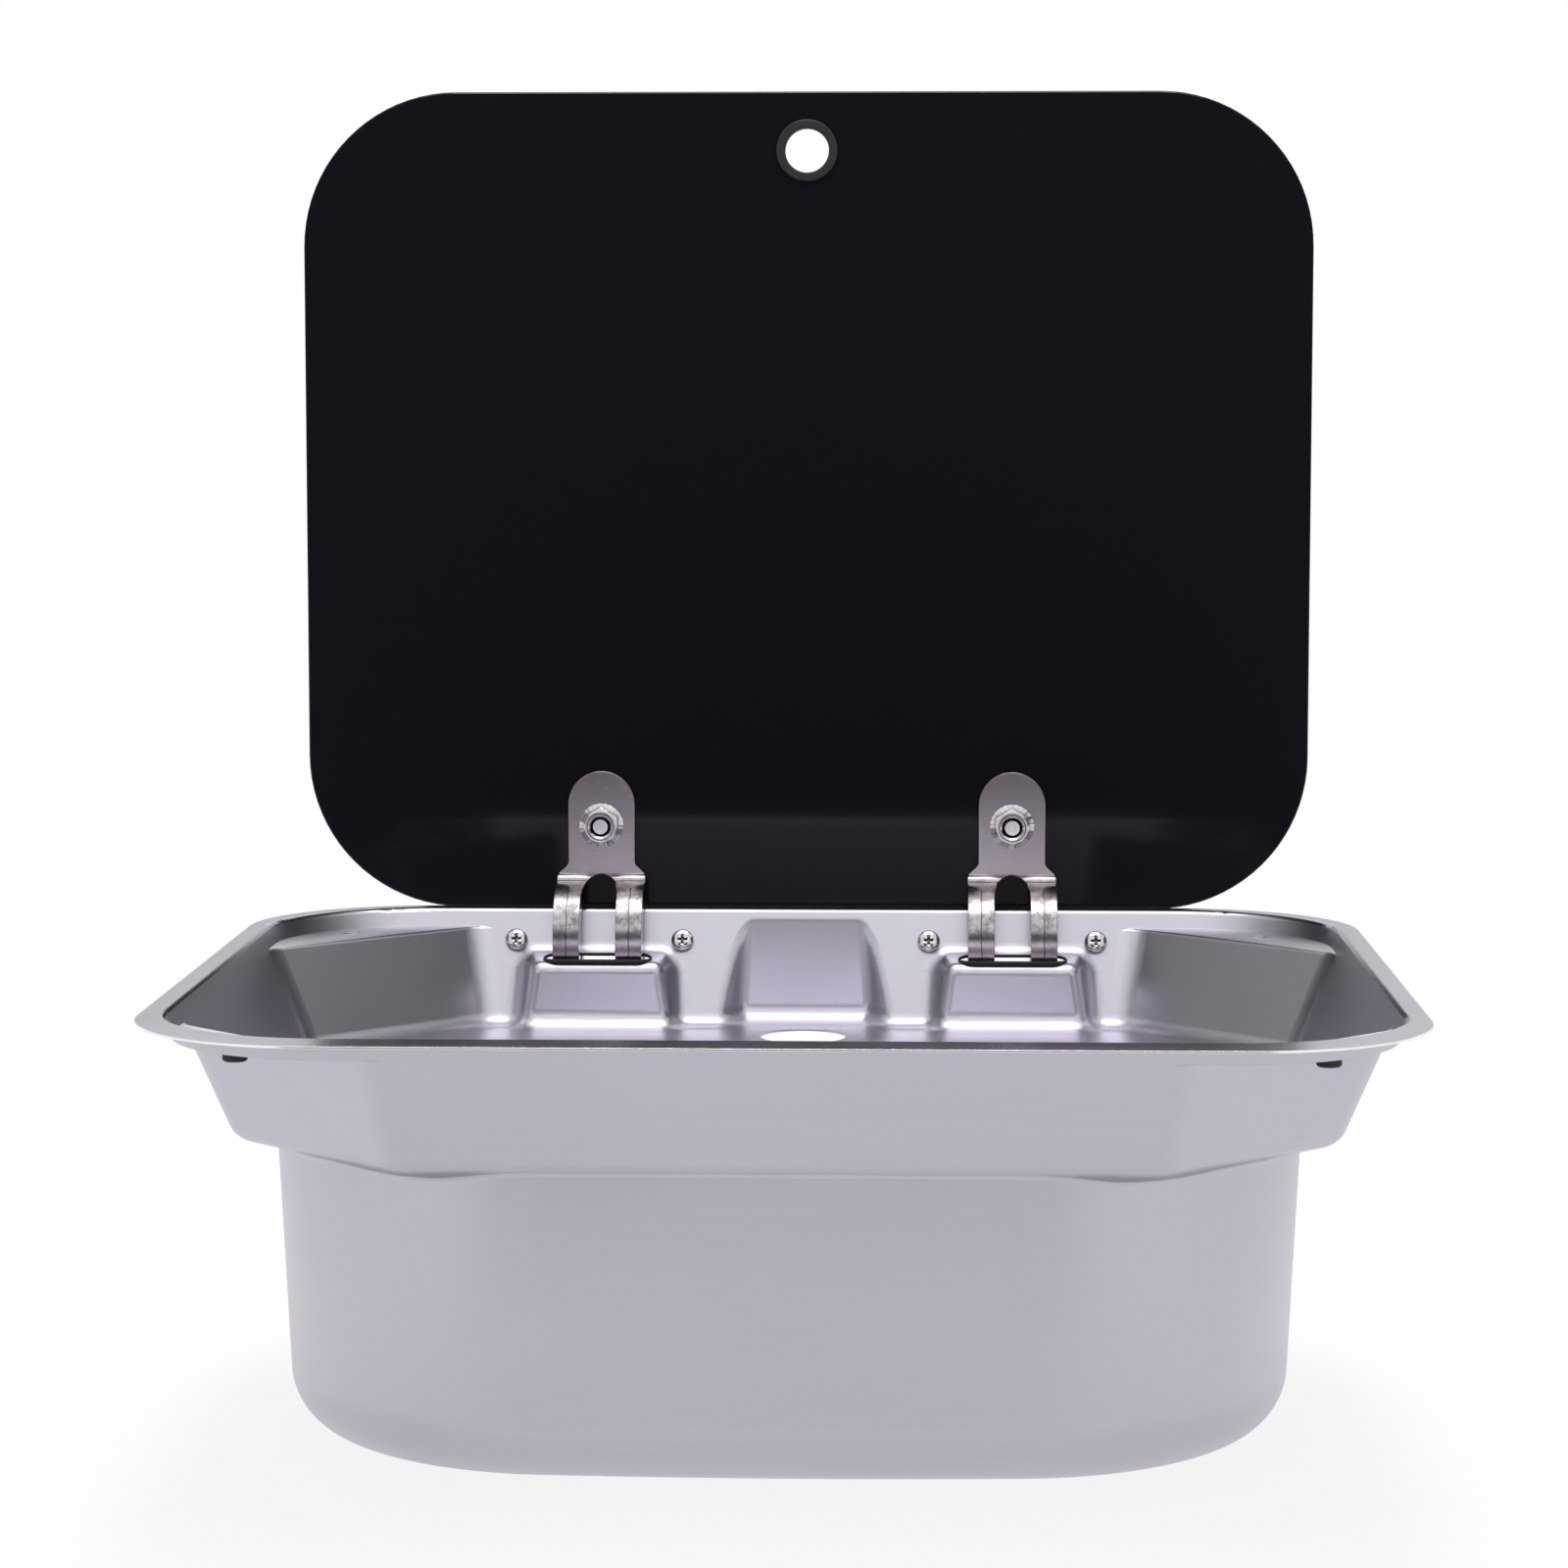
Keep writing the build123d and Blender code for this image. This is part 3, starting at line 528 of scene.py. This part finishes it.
def to_object(name, bm):
    bmesh.ops.recalc_face_normals(bm, faces=bm.faces)
    for face in bm.faces:
        face.smooth = True
    mesh = bpy.data.meshes.new(name)
    bm.to_mesh(mesh)
    bm.free()
    mesh.set_sharp_from_angle(angle=SHARP_ANGLE)
    shape = bpy.data.objects.new(name, mesh)
    bpy.context.scene.collection.objects.link(shape)
    return shape


print("placing ready")

# %% [markdown]
# Recesses are cut by a tool shape, as a punch would. Threads come after that, and last the piece
# gets its material, its body and the piece that it stands for.


# %% Carving and dressing
def carve(shape, tool):
    """Takes the tool's form out of the shape for good."""
    recess = shape.modifiers.new("recess", "BOOLEAN")
    recess.operation = "DIFFERENCE"
    recess.solver = "EXACT"
    recess.object = tool
    carved = shape.evaluated_get(bpy.context.evaluated_depsgraph_get())
    mesh = bpy.data.meshes.new_from_object(carved)
    shape.modifiers.clear()
    shape.data = mesh
    bpy.data.objects.remove(tool)


def wind_threads(shape, recipe, seats):
    """Adds the threads last, since carving wants a shape that doesn't cross itself."""
    threaded = bmesh.new()
    threaded.from_mesh(shape.data)
    place_each(threaded, recipe, seats)
    threaded.to_mesh(shape.data)
    threaded.free()


def dress(piece, material, body, node=None):
    piece.data.materials.clear()
    piece.data.materials.append(material)
    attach(piece, body)
    if node:
        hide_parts(node)


print("carving and dressing ready")

# %% [markdown]
# ### Flange nuts
# Each arm's plate is held by one flange nut. Its hexagon is cut back by a cone at the
# top, so each side ends in an arc, and its flange has small teeth round the rim.

# %% Flange nut
NUT_FLATS, NUT_HEIGHT, NUT_BORE, NUT_FLAT_RADIUS = 13.0, 7.5, 3.95, 6.0
FLANGE_RADIUS, FLANGE_EDGE, FLANGE_SLOPE = 8.75, 0.9, 0.52
TOOTH_DEPTH, TEETH, TOOTH_SHARE, NUT_STEPS = 0.16, 24, 0.6, 240
GROOVE = 0.3
nut_side = hex_reach(NUT_FLATS, math.pi / 2)


def flange_rim(angle):
    between = (angle * TEETH / math.tau) % 1.0
    return FLANGE_RADIUS - (TOOTH_DEPTH if between > TOOTH_SHARE else 0.0)


def on_cone(angle):
    return FLANGE_EDGE + (FLANGE_RADIUS - nut_side(angle)) * FLANGE_SLOPE


def flange_nut(bm):
    profile = [
        (NUT_BORE, 0.0), (flange_rim, 0.0), (flange_rim, FLANGE_EDGE), (nut_side, on_cone),
        (nut_side, hex_chamfer(nut_side, NUT_HEIGHT, NUT_FLAT_RADIUS)),
        (NUT_FLAT_RADIUS, NUT_HEIGHT), (5.45, NUT_HEIGHT), (5.3, NUT_HEIGHT - GROOVE),
        (5.05, NUT_HEIGHT - GROOVE), (4.9, NUT_HEIGHT), (4.6, NUT_HEIGHT),
        (NUT_BORE, NUT_HEIGHT - 0.6),
    ]
    turn(bm, profile, steps=NUT_STEPS, hollow=True)


print("flange nut", NUT_FLATS, "mm across flats")

# %% [markdown]
# ### Lid bolts
# The bolt comes through the glass from behind, with a low dome head and a hexagon socket,
# and its threaded end stands just inside the nut's bore.

# %% Lid bolt
BOLT_TIP, BOLT_PITCH, BOLT_SHANK, BOLT_CORE = -15.8, 1.25, 3.9, 3.3
BOLT_THREAD_DEPTH, BOLT_THREAD_END = 0.65, -6.6
SOCKET_FLATS, SOCKET_FLOOR, SOCKET_TOP = 5.0, 1.0, 3.6
socket_side = hex_reach(SOCKET_FLATS, 0.0)


def lid_bolt(bm):
    profile = [
        (0.15, BOLT_TIP + 0.08), (1.3, BOLT_TIP + 0.08), (1.45, BOLT_TIP), (2.9, BOLT_TIP),
        (BOLT_CORE, BOLT_TIP + 0.5), (BOLT_CORE, -7.5), (BOLT_SHANK, -7.0),
        (BOLT_SHANK, -0.2), (4.1, 0.0), (10.7, 0.0), (11.0, 0.3), (11.0, 0.9), (10.4, 1.5),
        (8.6, 2.35), (6.0, 2.95), (3.2, 3.2),
    ]
    turn(bm, profile)


def bolt_socket(bm):
    turn(bm, [(socket_side, SOCKET_FLOOR), (socket_side, SOCKET_TOP)])


def bolt_thread(bm):
    start = BOLT_TIP + 0.25
    thread(bm, BOLT_SHANK, BOLT_THREAD_DEPTH, BOLT_PITCH, start, BOLT_THREAD_END)


print("lid bolt with a pitch of", BOLT_PITCH, "mm")

# %% [markdown]
# With the lid open, the nuts stand on the front of the arms' plates and the bolt heads
# sit behind the glass. Both swing with the lid.

# %% Nuts and bolts in place
PLATE_Y, BOLT_SEAT_Y, BOLT_Z = 180.5, 189.5, 32.8
front = Vector((0, -1, 0))
for side, sign in zip(SIDES, (-1, 1)):
    nut_seats = [seat(mm(sign * hinge_x / MM, PLATE_Y, BOLT_Z), front)]
    nut = to_object(f"threaded_nut_{side}", place_each(bmesh.new(), flange_nut, nut_seats))
    dress(nut, bright_steel, "lid", f"flange_nut_{side}")
    bolt_seats = [seat(mm(sign * hinge_x / MM, BOLT_SEAT_Y, BOLT_Z), -front)]
    bolt = to_object(f"dome_bolt_{side}", place_each(bmesh.new(), lid_bolt, bolt_seats))
    carve(bolt, to_object("socket tool", place_each(bmesh.new(), bolt_socket, bolt_seats)))
    wind_threads(bolt, bolt_thread, bolt_seats)
    dress(bolt, bright_steel, "lid", f"lid_bolt_{side}")
print("flange nuts and bolts made")

# %% [markdown]
# ### Hinge screws
# Four pan heads stand on the sloping rear wall, two beside each hinge, with a cross
# recess that narrows to its bottom. Each screw passes the wall, the hinge base and a nut.

# %% Hinge screw
SHEET, BASE_SHEET, WALL_NUT_HEIGHT, PAST_NUT = 0.8, 1.5, 4.0, 1.2
SCREW_SHANK, SCREW_PITCH, SCREW_THREAD_DEPTH, SCREW_THREAD_END = 2.45, 0.8, 0.42, -2.0
SCREW_TIP = -(SHEET + BASE_SHEET + WALL_NUT_HEIGHT + PAST_NUT)
CROSS_LEVELS = ((0.75, 0.34, 1.2), (2.35, 0.56, 3.3))


def pan_screw(bm):
    profile = [
        (1.2, SCREW_TIP), (2.0, SCREW_TIP + 0.6), (2.05, -2.4), (SCREW_SHANK, -2.2),
        (SCREW_SHANK, -0.01), (4.25, 0.0), (4.4, 0.2), (4.4, 1.2), (4.15, 1.9),
        (3.5, 2.45), (2.5, 2.82), (1.2, 2.98), (0.3, 3.0),
    ]
    turn(bm, profile)


def cross_recess(bm):
    """A tapering cross: each level is one arm's end and inner corner, turned four times."""
    rings = []
    for length, half, level in CROSS_LEVELS:
        loop = []
        for quarter in range(4):
            spin = Matrix.Rotation(quarter * math.pi / 2, 3, "Z")
            for corner in ((length, -half), (length, half), (half, half)):
                loop.append(bm.verts.new(spin @ mm(*corner, level)))
        rings.append(loop)
    join_rings(bm, rings)
    cap_ends(bm, rings)


def screw_thread(bm):
    start = SCREW_TIP + 0.4
    thread(bm, SCREW_SHANK, SCREW_THREAD_DEPTH, SCREW_PITCH, start, SCREW_THREAD_END)


print("hinge screw", round(-SCREW_TIP, 2), "mm long under its head")

# %% [markdown]
# The nuts behind the wall can't be seen in the photograph. They are plain hexagons in the
# usual size for such a screw.

# %% Wall nut
WALL_NUT_FLATS, WALL_NUT_BORE, WALL_NUT_FLAT_RADIUS = 8.0, 2.5, 3.7
wall_nut_side = hex_reach(WALL_NUT_FLATS, 0.0)


def wall_nut(bm):
    profile = [
        (WALL_NUT_BORE, 0.0), (wall_nut_side, 0.0),
        (wall_nut_side, hex_chamfer(wall_nut_side, WALL_NUT_HEIGHT, WALL_NUT_FLAT_RADIUS)),
        (WALL_NUT_FLAT_RADIUS, WALL_NUT_HEIGHT), (3.0, WALL_NUT_HEIGHT),
        (WALL_NUT_BORE, WALL_NUT_HEIGHT - 0.5),
    ]
    turn(bm, profile, hollow=True)


print("wall nut", WALL_NUT_FLATS, "mm across flats")

# %% [markdown]
# The rear wall leans back, so the seats are found along its normal: heads on its front,
# nuts on the back of the hinge base. They stay with the basin when the lid swings.

# %% Screws and nuts in place
WALL_POINT = (168.81, -11.7)
WALL_OUT = Vector((0.0, 0.92718, -0.37461))
SCREW_OUTER, SCREW_INNER = 113.4, 48.2
for side, sign in zip(SIDES, (-1, 1)):
    wall = [mm(sign * x, *WALL_POINT) for x in (SCREW_INNER, SCREW_OUTER)]
    heads = [seat(point - WALL_OUT * SHEET * MM, -WALL_OUT) for point in wall]
    screws = to_object(f"pan_screws_{side}", place_each(bmesh.new(), pan_screw, heads))
    carve(screws, to_object("cross tool", place_each(bmesh.new(), cross_recess, heads)))
    wind_threads(screws, screw_thread, heads)
    dress(screws, bright_steel, "basin", f"hinge_screws_{side}")
    backs = [seat(point + WALL_OUT * BASE_SHEET * MM, WALL_OUT) for point in wall]
    wall_nuts = to_object(f"hex_nuts_{side}", place_each(bmesh.new(), wall_nut, backs))
    dress(wall_nuts, bright_steel, "basin", f"screw_nuts_{side}")
print("hinge screws made")

# %% [markdown]
# ### Slot trims
# In the photograph a black bar runs along the front of each shelf slot. It is taken for the lip
# of a rubber edging that goes all round the slot and is low at the rear, and its black is also
# painted shade that stands in for the shade inside the slot's opening.

# %% Slot trims
SLOT_LENGTH, SLOT_WIDTH, SLOT_Y = 42.0, 12.0, 158.4
SHELF_Z, SHELF_TILT = -16.98, math.radians(9.0)
LIP_REAR, LIP_FRONT = 0.2, 1.15


def trim_section(lip):
    """Offsets out from the slot's edge and up from the shelf, for one height of lip."""
    return (
        (0.0, -0.9), (-0.3, -0.9), (-0.3, lip - 0.1), (-0.2, lip), (lip - 0.1, lip),
        (lip, lip - 0.1), (lip, 0.02), (0.0, 0.02),
    )


def slot_trim(bm, end_steps=24):
    """Carries the section round the slot: half a circle at each end, straight between."""
    end = SLOT_WIDTH / 2
    rings = []
    for step in range(2 * end_steps + 2):
        half = step // (end_steps + 1)
        angle = math.pi * ((step % (end_steps + 1)) / end_steps - 0.5 + half)
        middle_x = (SLOT_LENGTH / 2 - end) * (1 - 2 * half)
        lip = LIP_REAR + (LIP_FRONT - LIP_REAR) * max(0.0, -math.sin(angle))
        loop = []
        for out, up in trim_section(lip):
            reach = end + out
            spot = mm(middle_x + reach * math.cos(angle), reach * math.sin(angle), up)
            loop.append(bm.verts.new(spot))
        rings.append(loop)
    join_rings(bm, rings + rings[:1])


shelf_up = Vector((0, -math.sin(SHELF_TILT), math.cos(SHELF_TILT)))
for side, sign in zip(SIDES, (-1, 1)):
    on_shelf = seat(mm(sign * hinge_x / MM, SLOT_Y, SHELF_Z), shelf_up)
    trim = to_object(f"slot_trim_{side}", place_each(bmesh.new(), slot_trim, [on_shelf]))
    # The edging is partly a real rubber lip and partly painted shade for the dark slot opening.
    dress(trim, black_rubber, "basin")
print("slot trims made")

# %% [markdown]
# ## The studio
# Steel has hardly any colour of its own: it shows the room. So the room is built with
# care. The floor and the surround are white, as in a catalogue picture.

# %% Floor
FLOOR_DROP = 2.0 * MM
FLOOR_SIZE = 30.0
PAPER_ROUGH = 0.9
bpy.ops.mesh.primitive_plane_add(size=FLOOR_SIZE, location=(0, 0, rim_low.z - FLOOR_DROP))
floor = bpy.context.object
floor.name = "studio floor"
floor_paint, floor_tree, floor_shader = start_material(
    "pale floor", Base_Color=(0.84, 0.84, 0.85, 1.0), Roughness=PAPER_ROUGH
)
floor.data.materials.append(floor_paint)
print("floor", FLOOR_SIZE, "m wide")

# %% [markdown]
# Cycles can tell which ray looks at a surface. Rays that make the picture, straight or by
# way of a mirror, may see another white than the rays that only carry light.


# %% Picture rays
def picture_rays(tree):
    """1 for rays from the camera and rays that mirrors and glass send on, else 0."""
    rays = tree.nodes.new("ShaderNodeLightPath").outputs
    seen = math_step(tree, "MAXIMUM", rays["Is Camera Ray"], rays["Is Glossy Ray"])
    return math_step(tree, "MAXIMUM", seen, rays["Is Transmission Ray"])


print("picture rays ready")

# %% [markdown]
# The floor is part real, so that it takes the object's shadow, and part plain white, and
# it turns fully white away from the object, so that no horizon shows.

# %% Floor fade
NEAR, FAR, NEAR_WHITE = 0.30, 0.85, 0.86
place = floor_tree.nodes.new("ShaderNodeTexCoord")
reach = add_node(floor_tree, "ShaderNodeVectorMath")
reach.operation = "LENGTH"
floor_tree.links.new(place.outputs["Object"], reach.inputs[0])
fade = add_node(
    floor_tree, "ShaderNodeMapRange", From_Min=NEAR, From_Max=FAR, To_Min=NEAR_WHITE, To_Max=1.0
)
fade.interpolation_type = "SMOOTHSTEP"
floor_tree.links.new(reach.outputs["Value"], fade.inputs["Value"])
plain_white = add_node(floor_tree, "ShaderNodeEmission", Color=(1, 1, 1, 1), Strength=1.0)
whiten = floor_tree.nodes.new("ShaderNodeMixShader")
share = math_step(floor_tree, "MULTIPLY", fade.outputs["Result"], picture_rays(floor_tree))
floor_tree.links.new(share, whiten.inputs["Fac"])
floor_tree.links.new(floor_shader.outputs["BSDF"], whiten.inputs[1])
floor_tree.links.new(plain_white.outputs["Emission"], whiten.inputs[2])
floor_tree.links.new(
    whiten.outputs["Shader"], floor_tree.nodes["Material Output"].inputs["Surface"]
)
print("floor fades from", NEAR, "to", FAR, "m")

# %% [markdown]
# The surround is white to the camera and in mirrors. Its own light is weaker, so that the
# pale steel doesn't wash out.

# %% Surround
ROOM_LIGHT = 0.45
world = bpy.data.worlds.new("studio surround")
bpy.context.scene.world = world
world.use_nodes = True
world_tree = world.node_tree
dim = world_tree.nodes["Background"]
dim.inputs["Color"].default_value = (1.0, 1.0, 1.0, 1.0)
dim.inputs["Strength"].default_value = ROOM_LIGHT
white = add_node(world_tree, "ShaderNodeBackground", Color=(1, 1, 1, 1), Strength=1.0)
surround = world_tree.nodes.new("ShaderNodeMixShader")
world_tree.links.new(picture_rays(world_tree), surround.inputs["Fac"])
world_tree.links.new(dim.outputs["Background"], surround.inputs[1])
world_tree.links.new(white.outputs["Background"], surround.inputs[2])
world_tree.links.new(
    surround.outputs["Shader"], world_tree.nodes["World Output"].inputs["Surface"]
)
print("surround ready")

# %% [markdown]
# Photographers stand black cards, called flags, beside shiny metal. The steel and the
# glass mirror them and gain contrast. Two flags stand left and right of the sink, a third
# faces the open lid, and a paler card behind tones the rim. The camera doesn't see them,
# only reflections do.


# %% Flags
def flag(name, place, aim, size, tone):
    """A matte card, size wide and high, that faces the point aim."""
    mesh = bpy.data.meshes.new(name)
    half_w, half_h = size[0] / 2, size[1] / 2
    signs = ((-1, -1), (1, -1), (1, 1), (-1, 1))
    corners = [(across * half_w, along * half_h, 0) for across, along in signs]
    mesh.from_pydata(corners, [], [(0, 1, 2, 3)])
    card = bpy.data.objects.new(name, mesh)
    bpy.context.scene.collection.objects.link(card)
    card.location = place
    card.rotation_euler = (Vector(aim) - Vector(place)).to_track_quat("Z", "Y").to_euler()
    paper, _, _ = start_material(
        name + " paper", Base_Color=(tone, tone, tone, 1), Roughness=PAPER_ROUGH
    )
    mesh.materials.append(paper)
    card.visible_camera = False
    card.visible_shadow = False
    card.visible_diffuse = False


SINK = (0, 0, 0)
flag("left flag", (-1.3, 0.05, 0.50), SINK, (1.6, 0.9), 0.20)
flag("right flag", (1.3, 0.05, 0.50), SINK, (1.6, 0.9), 0.06)
flag("lid flag", (-0.03, -1.0, 0.155), (-0.03, 0, 0.155), (1.0, 0.61), 0.03)
flag("rear flag", (0.0, 2.2, 0.33), SINK, (3.2, 0.5), 0.7)
print("flags ready")

# %% [markdown]
# Three soft lamps light the sink: one overhead, a weak one in front that the rear wall
# mirrors, and a narrow one behind for the fronts of the shelves.


# %% Lamps
def soft_lamp(name, place, aim, size, power):
    lamp = bpy.data.lights.new(name, "AREA")
    lamp.shape = "RECTANGLE"
    lamp.size, lamp.size_y = size
    lamp.energy = power
    holder = bpy.data.objects.new(name, lamp)
    bpy.context.scene.collection.objects.link(holder)
    holder.location = place
    holder.rotation_euler = (Vector(aim) - Vector(place)).to_track_quat("-Z", "Y").to_euler()


soft_lamp("overhead", (0.0, -0.1, 1.6), SINK, (1.2, 1.0), 12)
soft_lamp("front", (0.0, -1.35, 1.15), SINK, (1.6, 0.9), 1.6)
soft_lamp("rear", (0.0, 0.8, 1.4), SINK, (0.7, 1.2), 36)
print("lamps ready")

# %% [markdown]
# ## The camera
# The photograph was taken from in front, a little above the rim, with a long lens. Its
# place was found by matching the rim, the lid and the hinges to the picture.

# %% Camera
SENSOR, LENS = 36.0, 96.27
CAMERA_PLACE = (44.28, -1460.80, 202.58)
LOOK_DOWN, LOOK_LEFT = 5.332, 1.854
camera_data = bpy.data.cameras.new("camera")
camera_data.sensor_width = SENSOR
camera_data.lens = LENS
camera = bpy.data.objects.new("camera", camera_data)
bpy.context.scene.collection.objects.link(camera)
camera.location = mm(*CAMERA_PLACE)
camera.rotation_euler = (math.radians(90.0 - LOOK_DOWN), 0.0, math.radians(LOOK_LEFT))
bpy.context.scene.camera = camera
bpy.context.scene.view_settings.view_transform = "Standard"
print("camera at", camera.location)
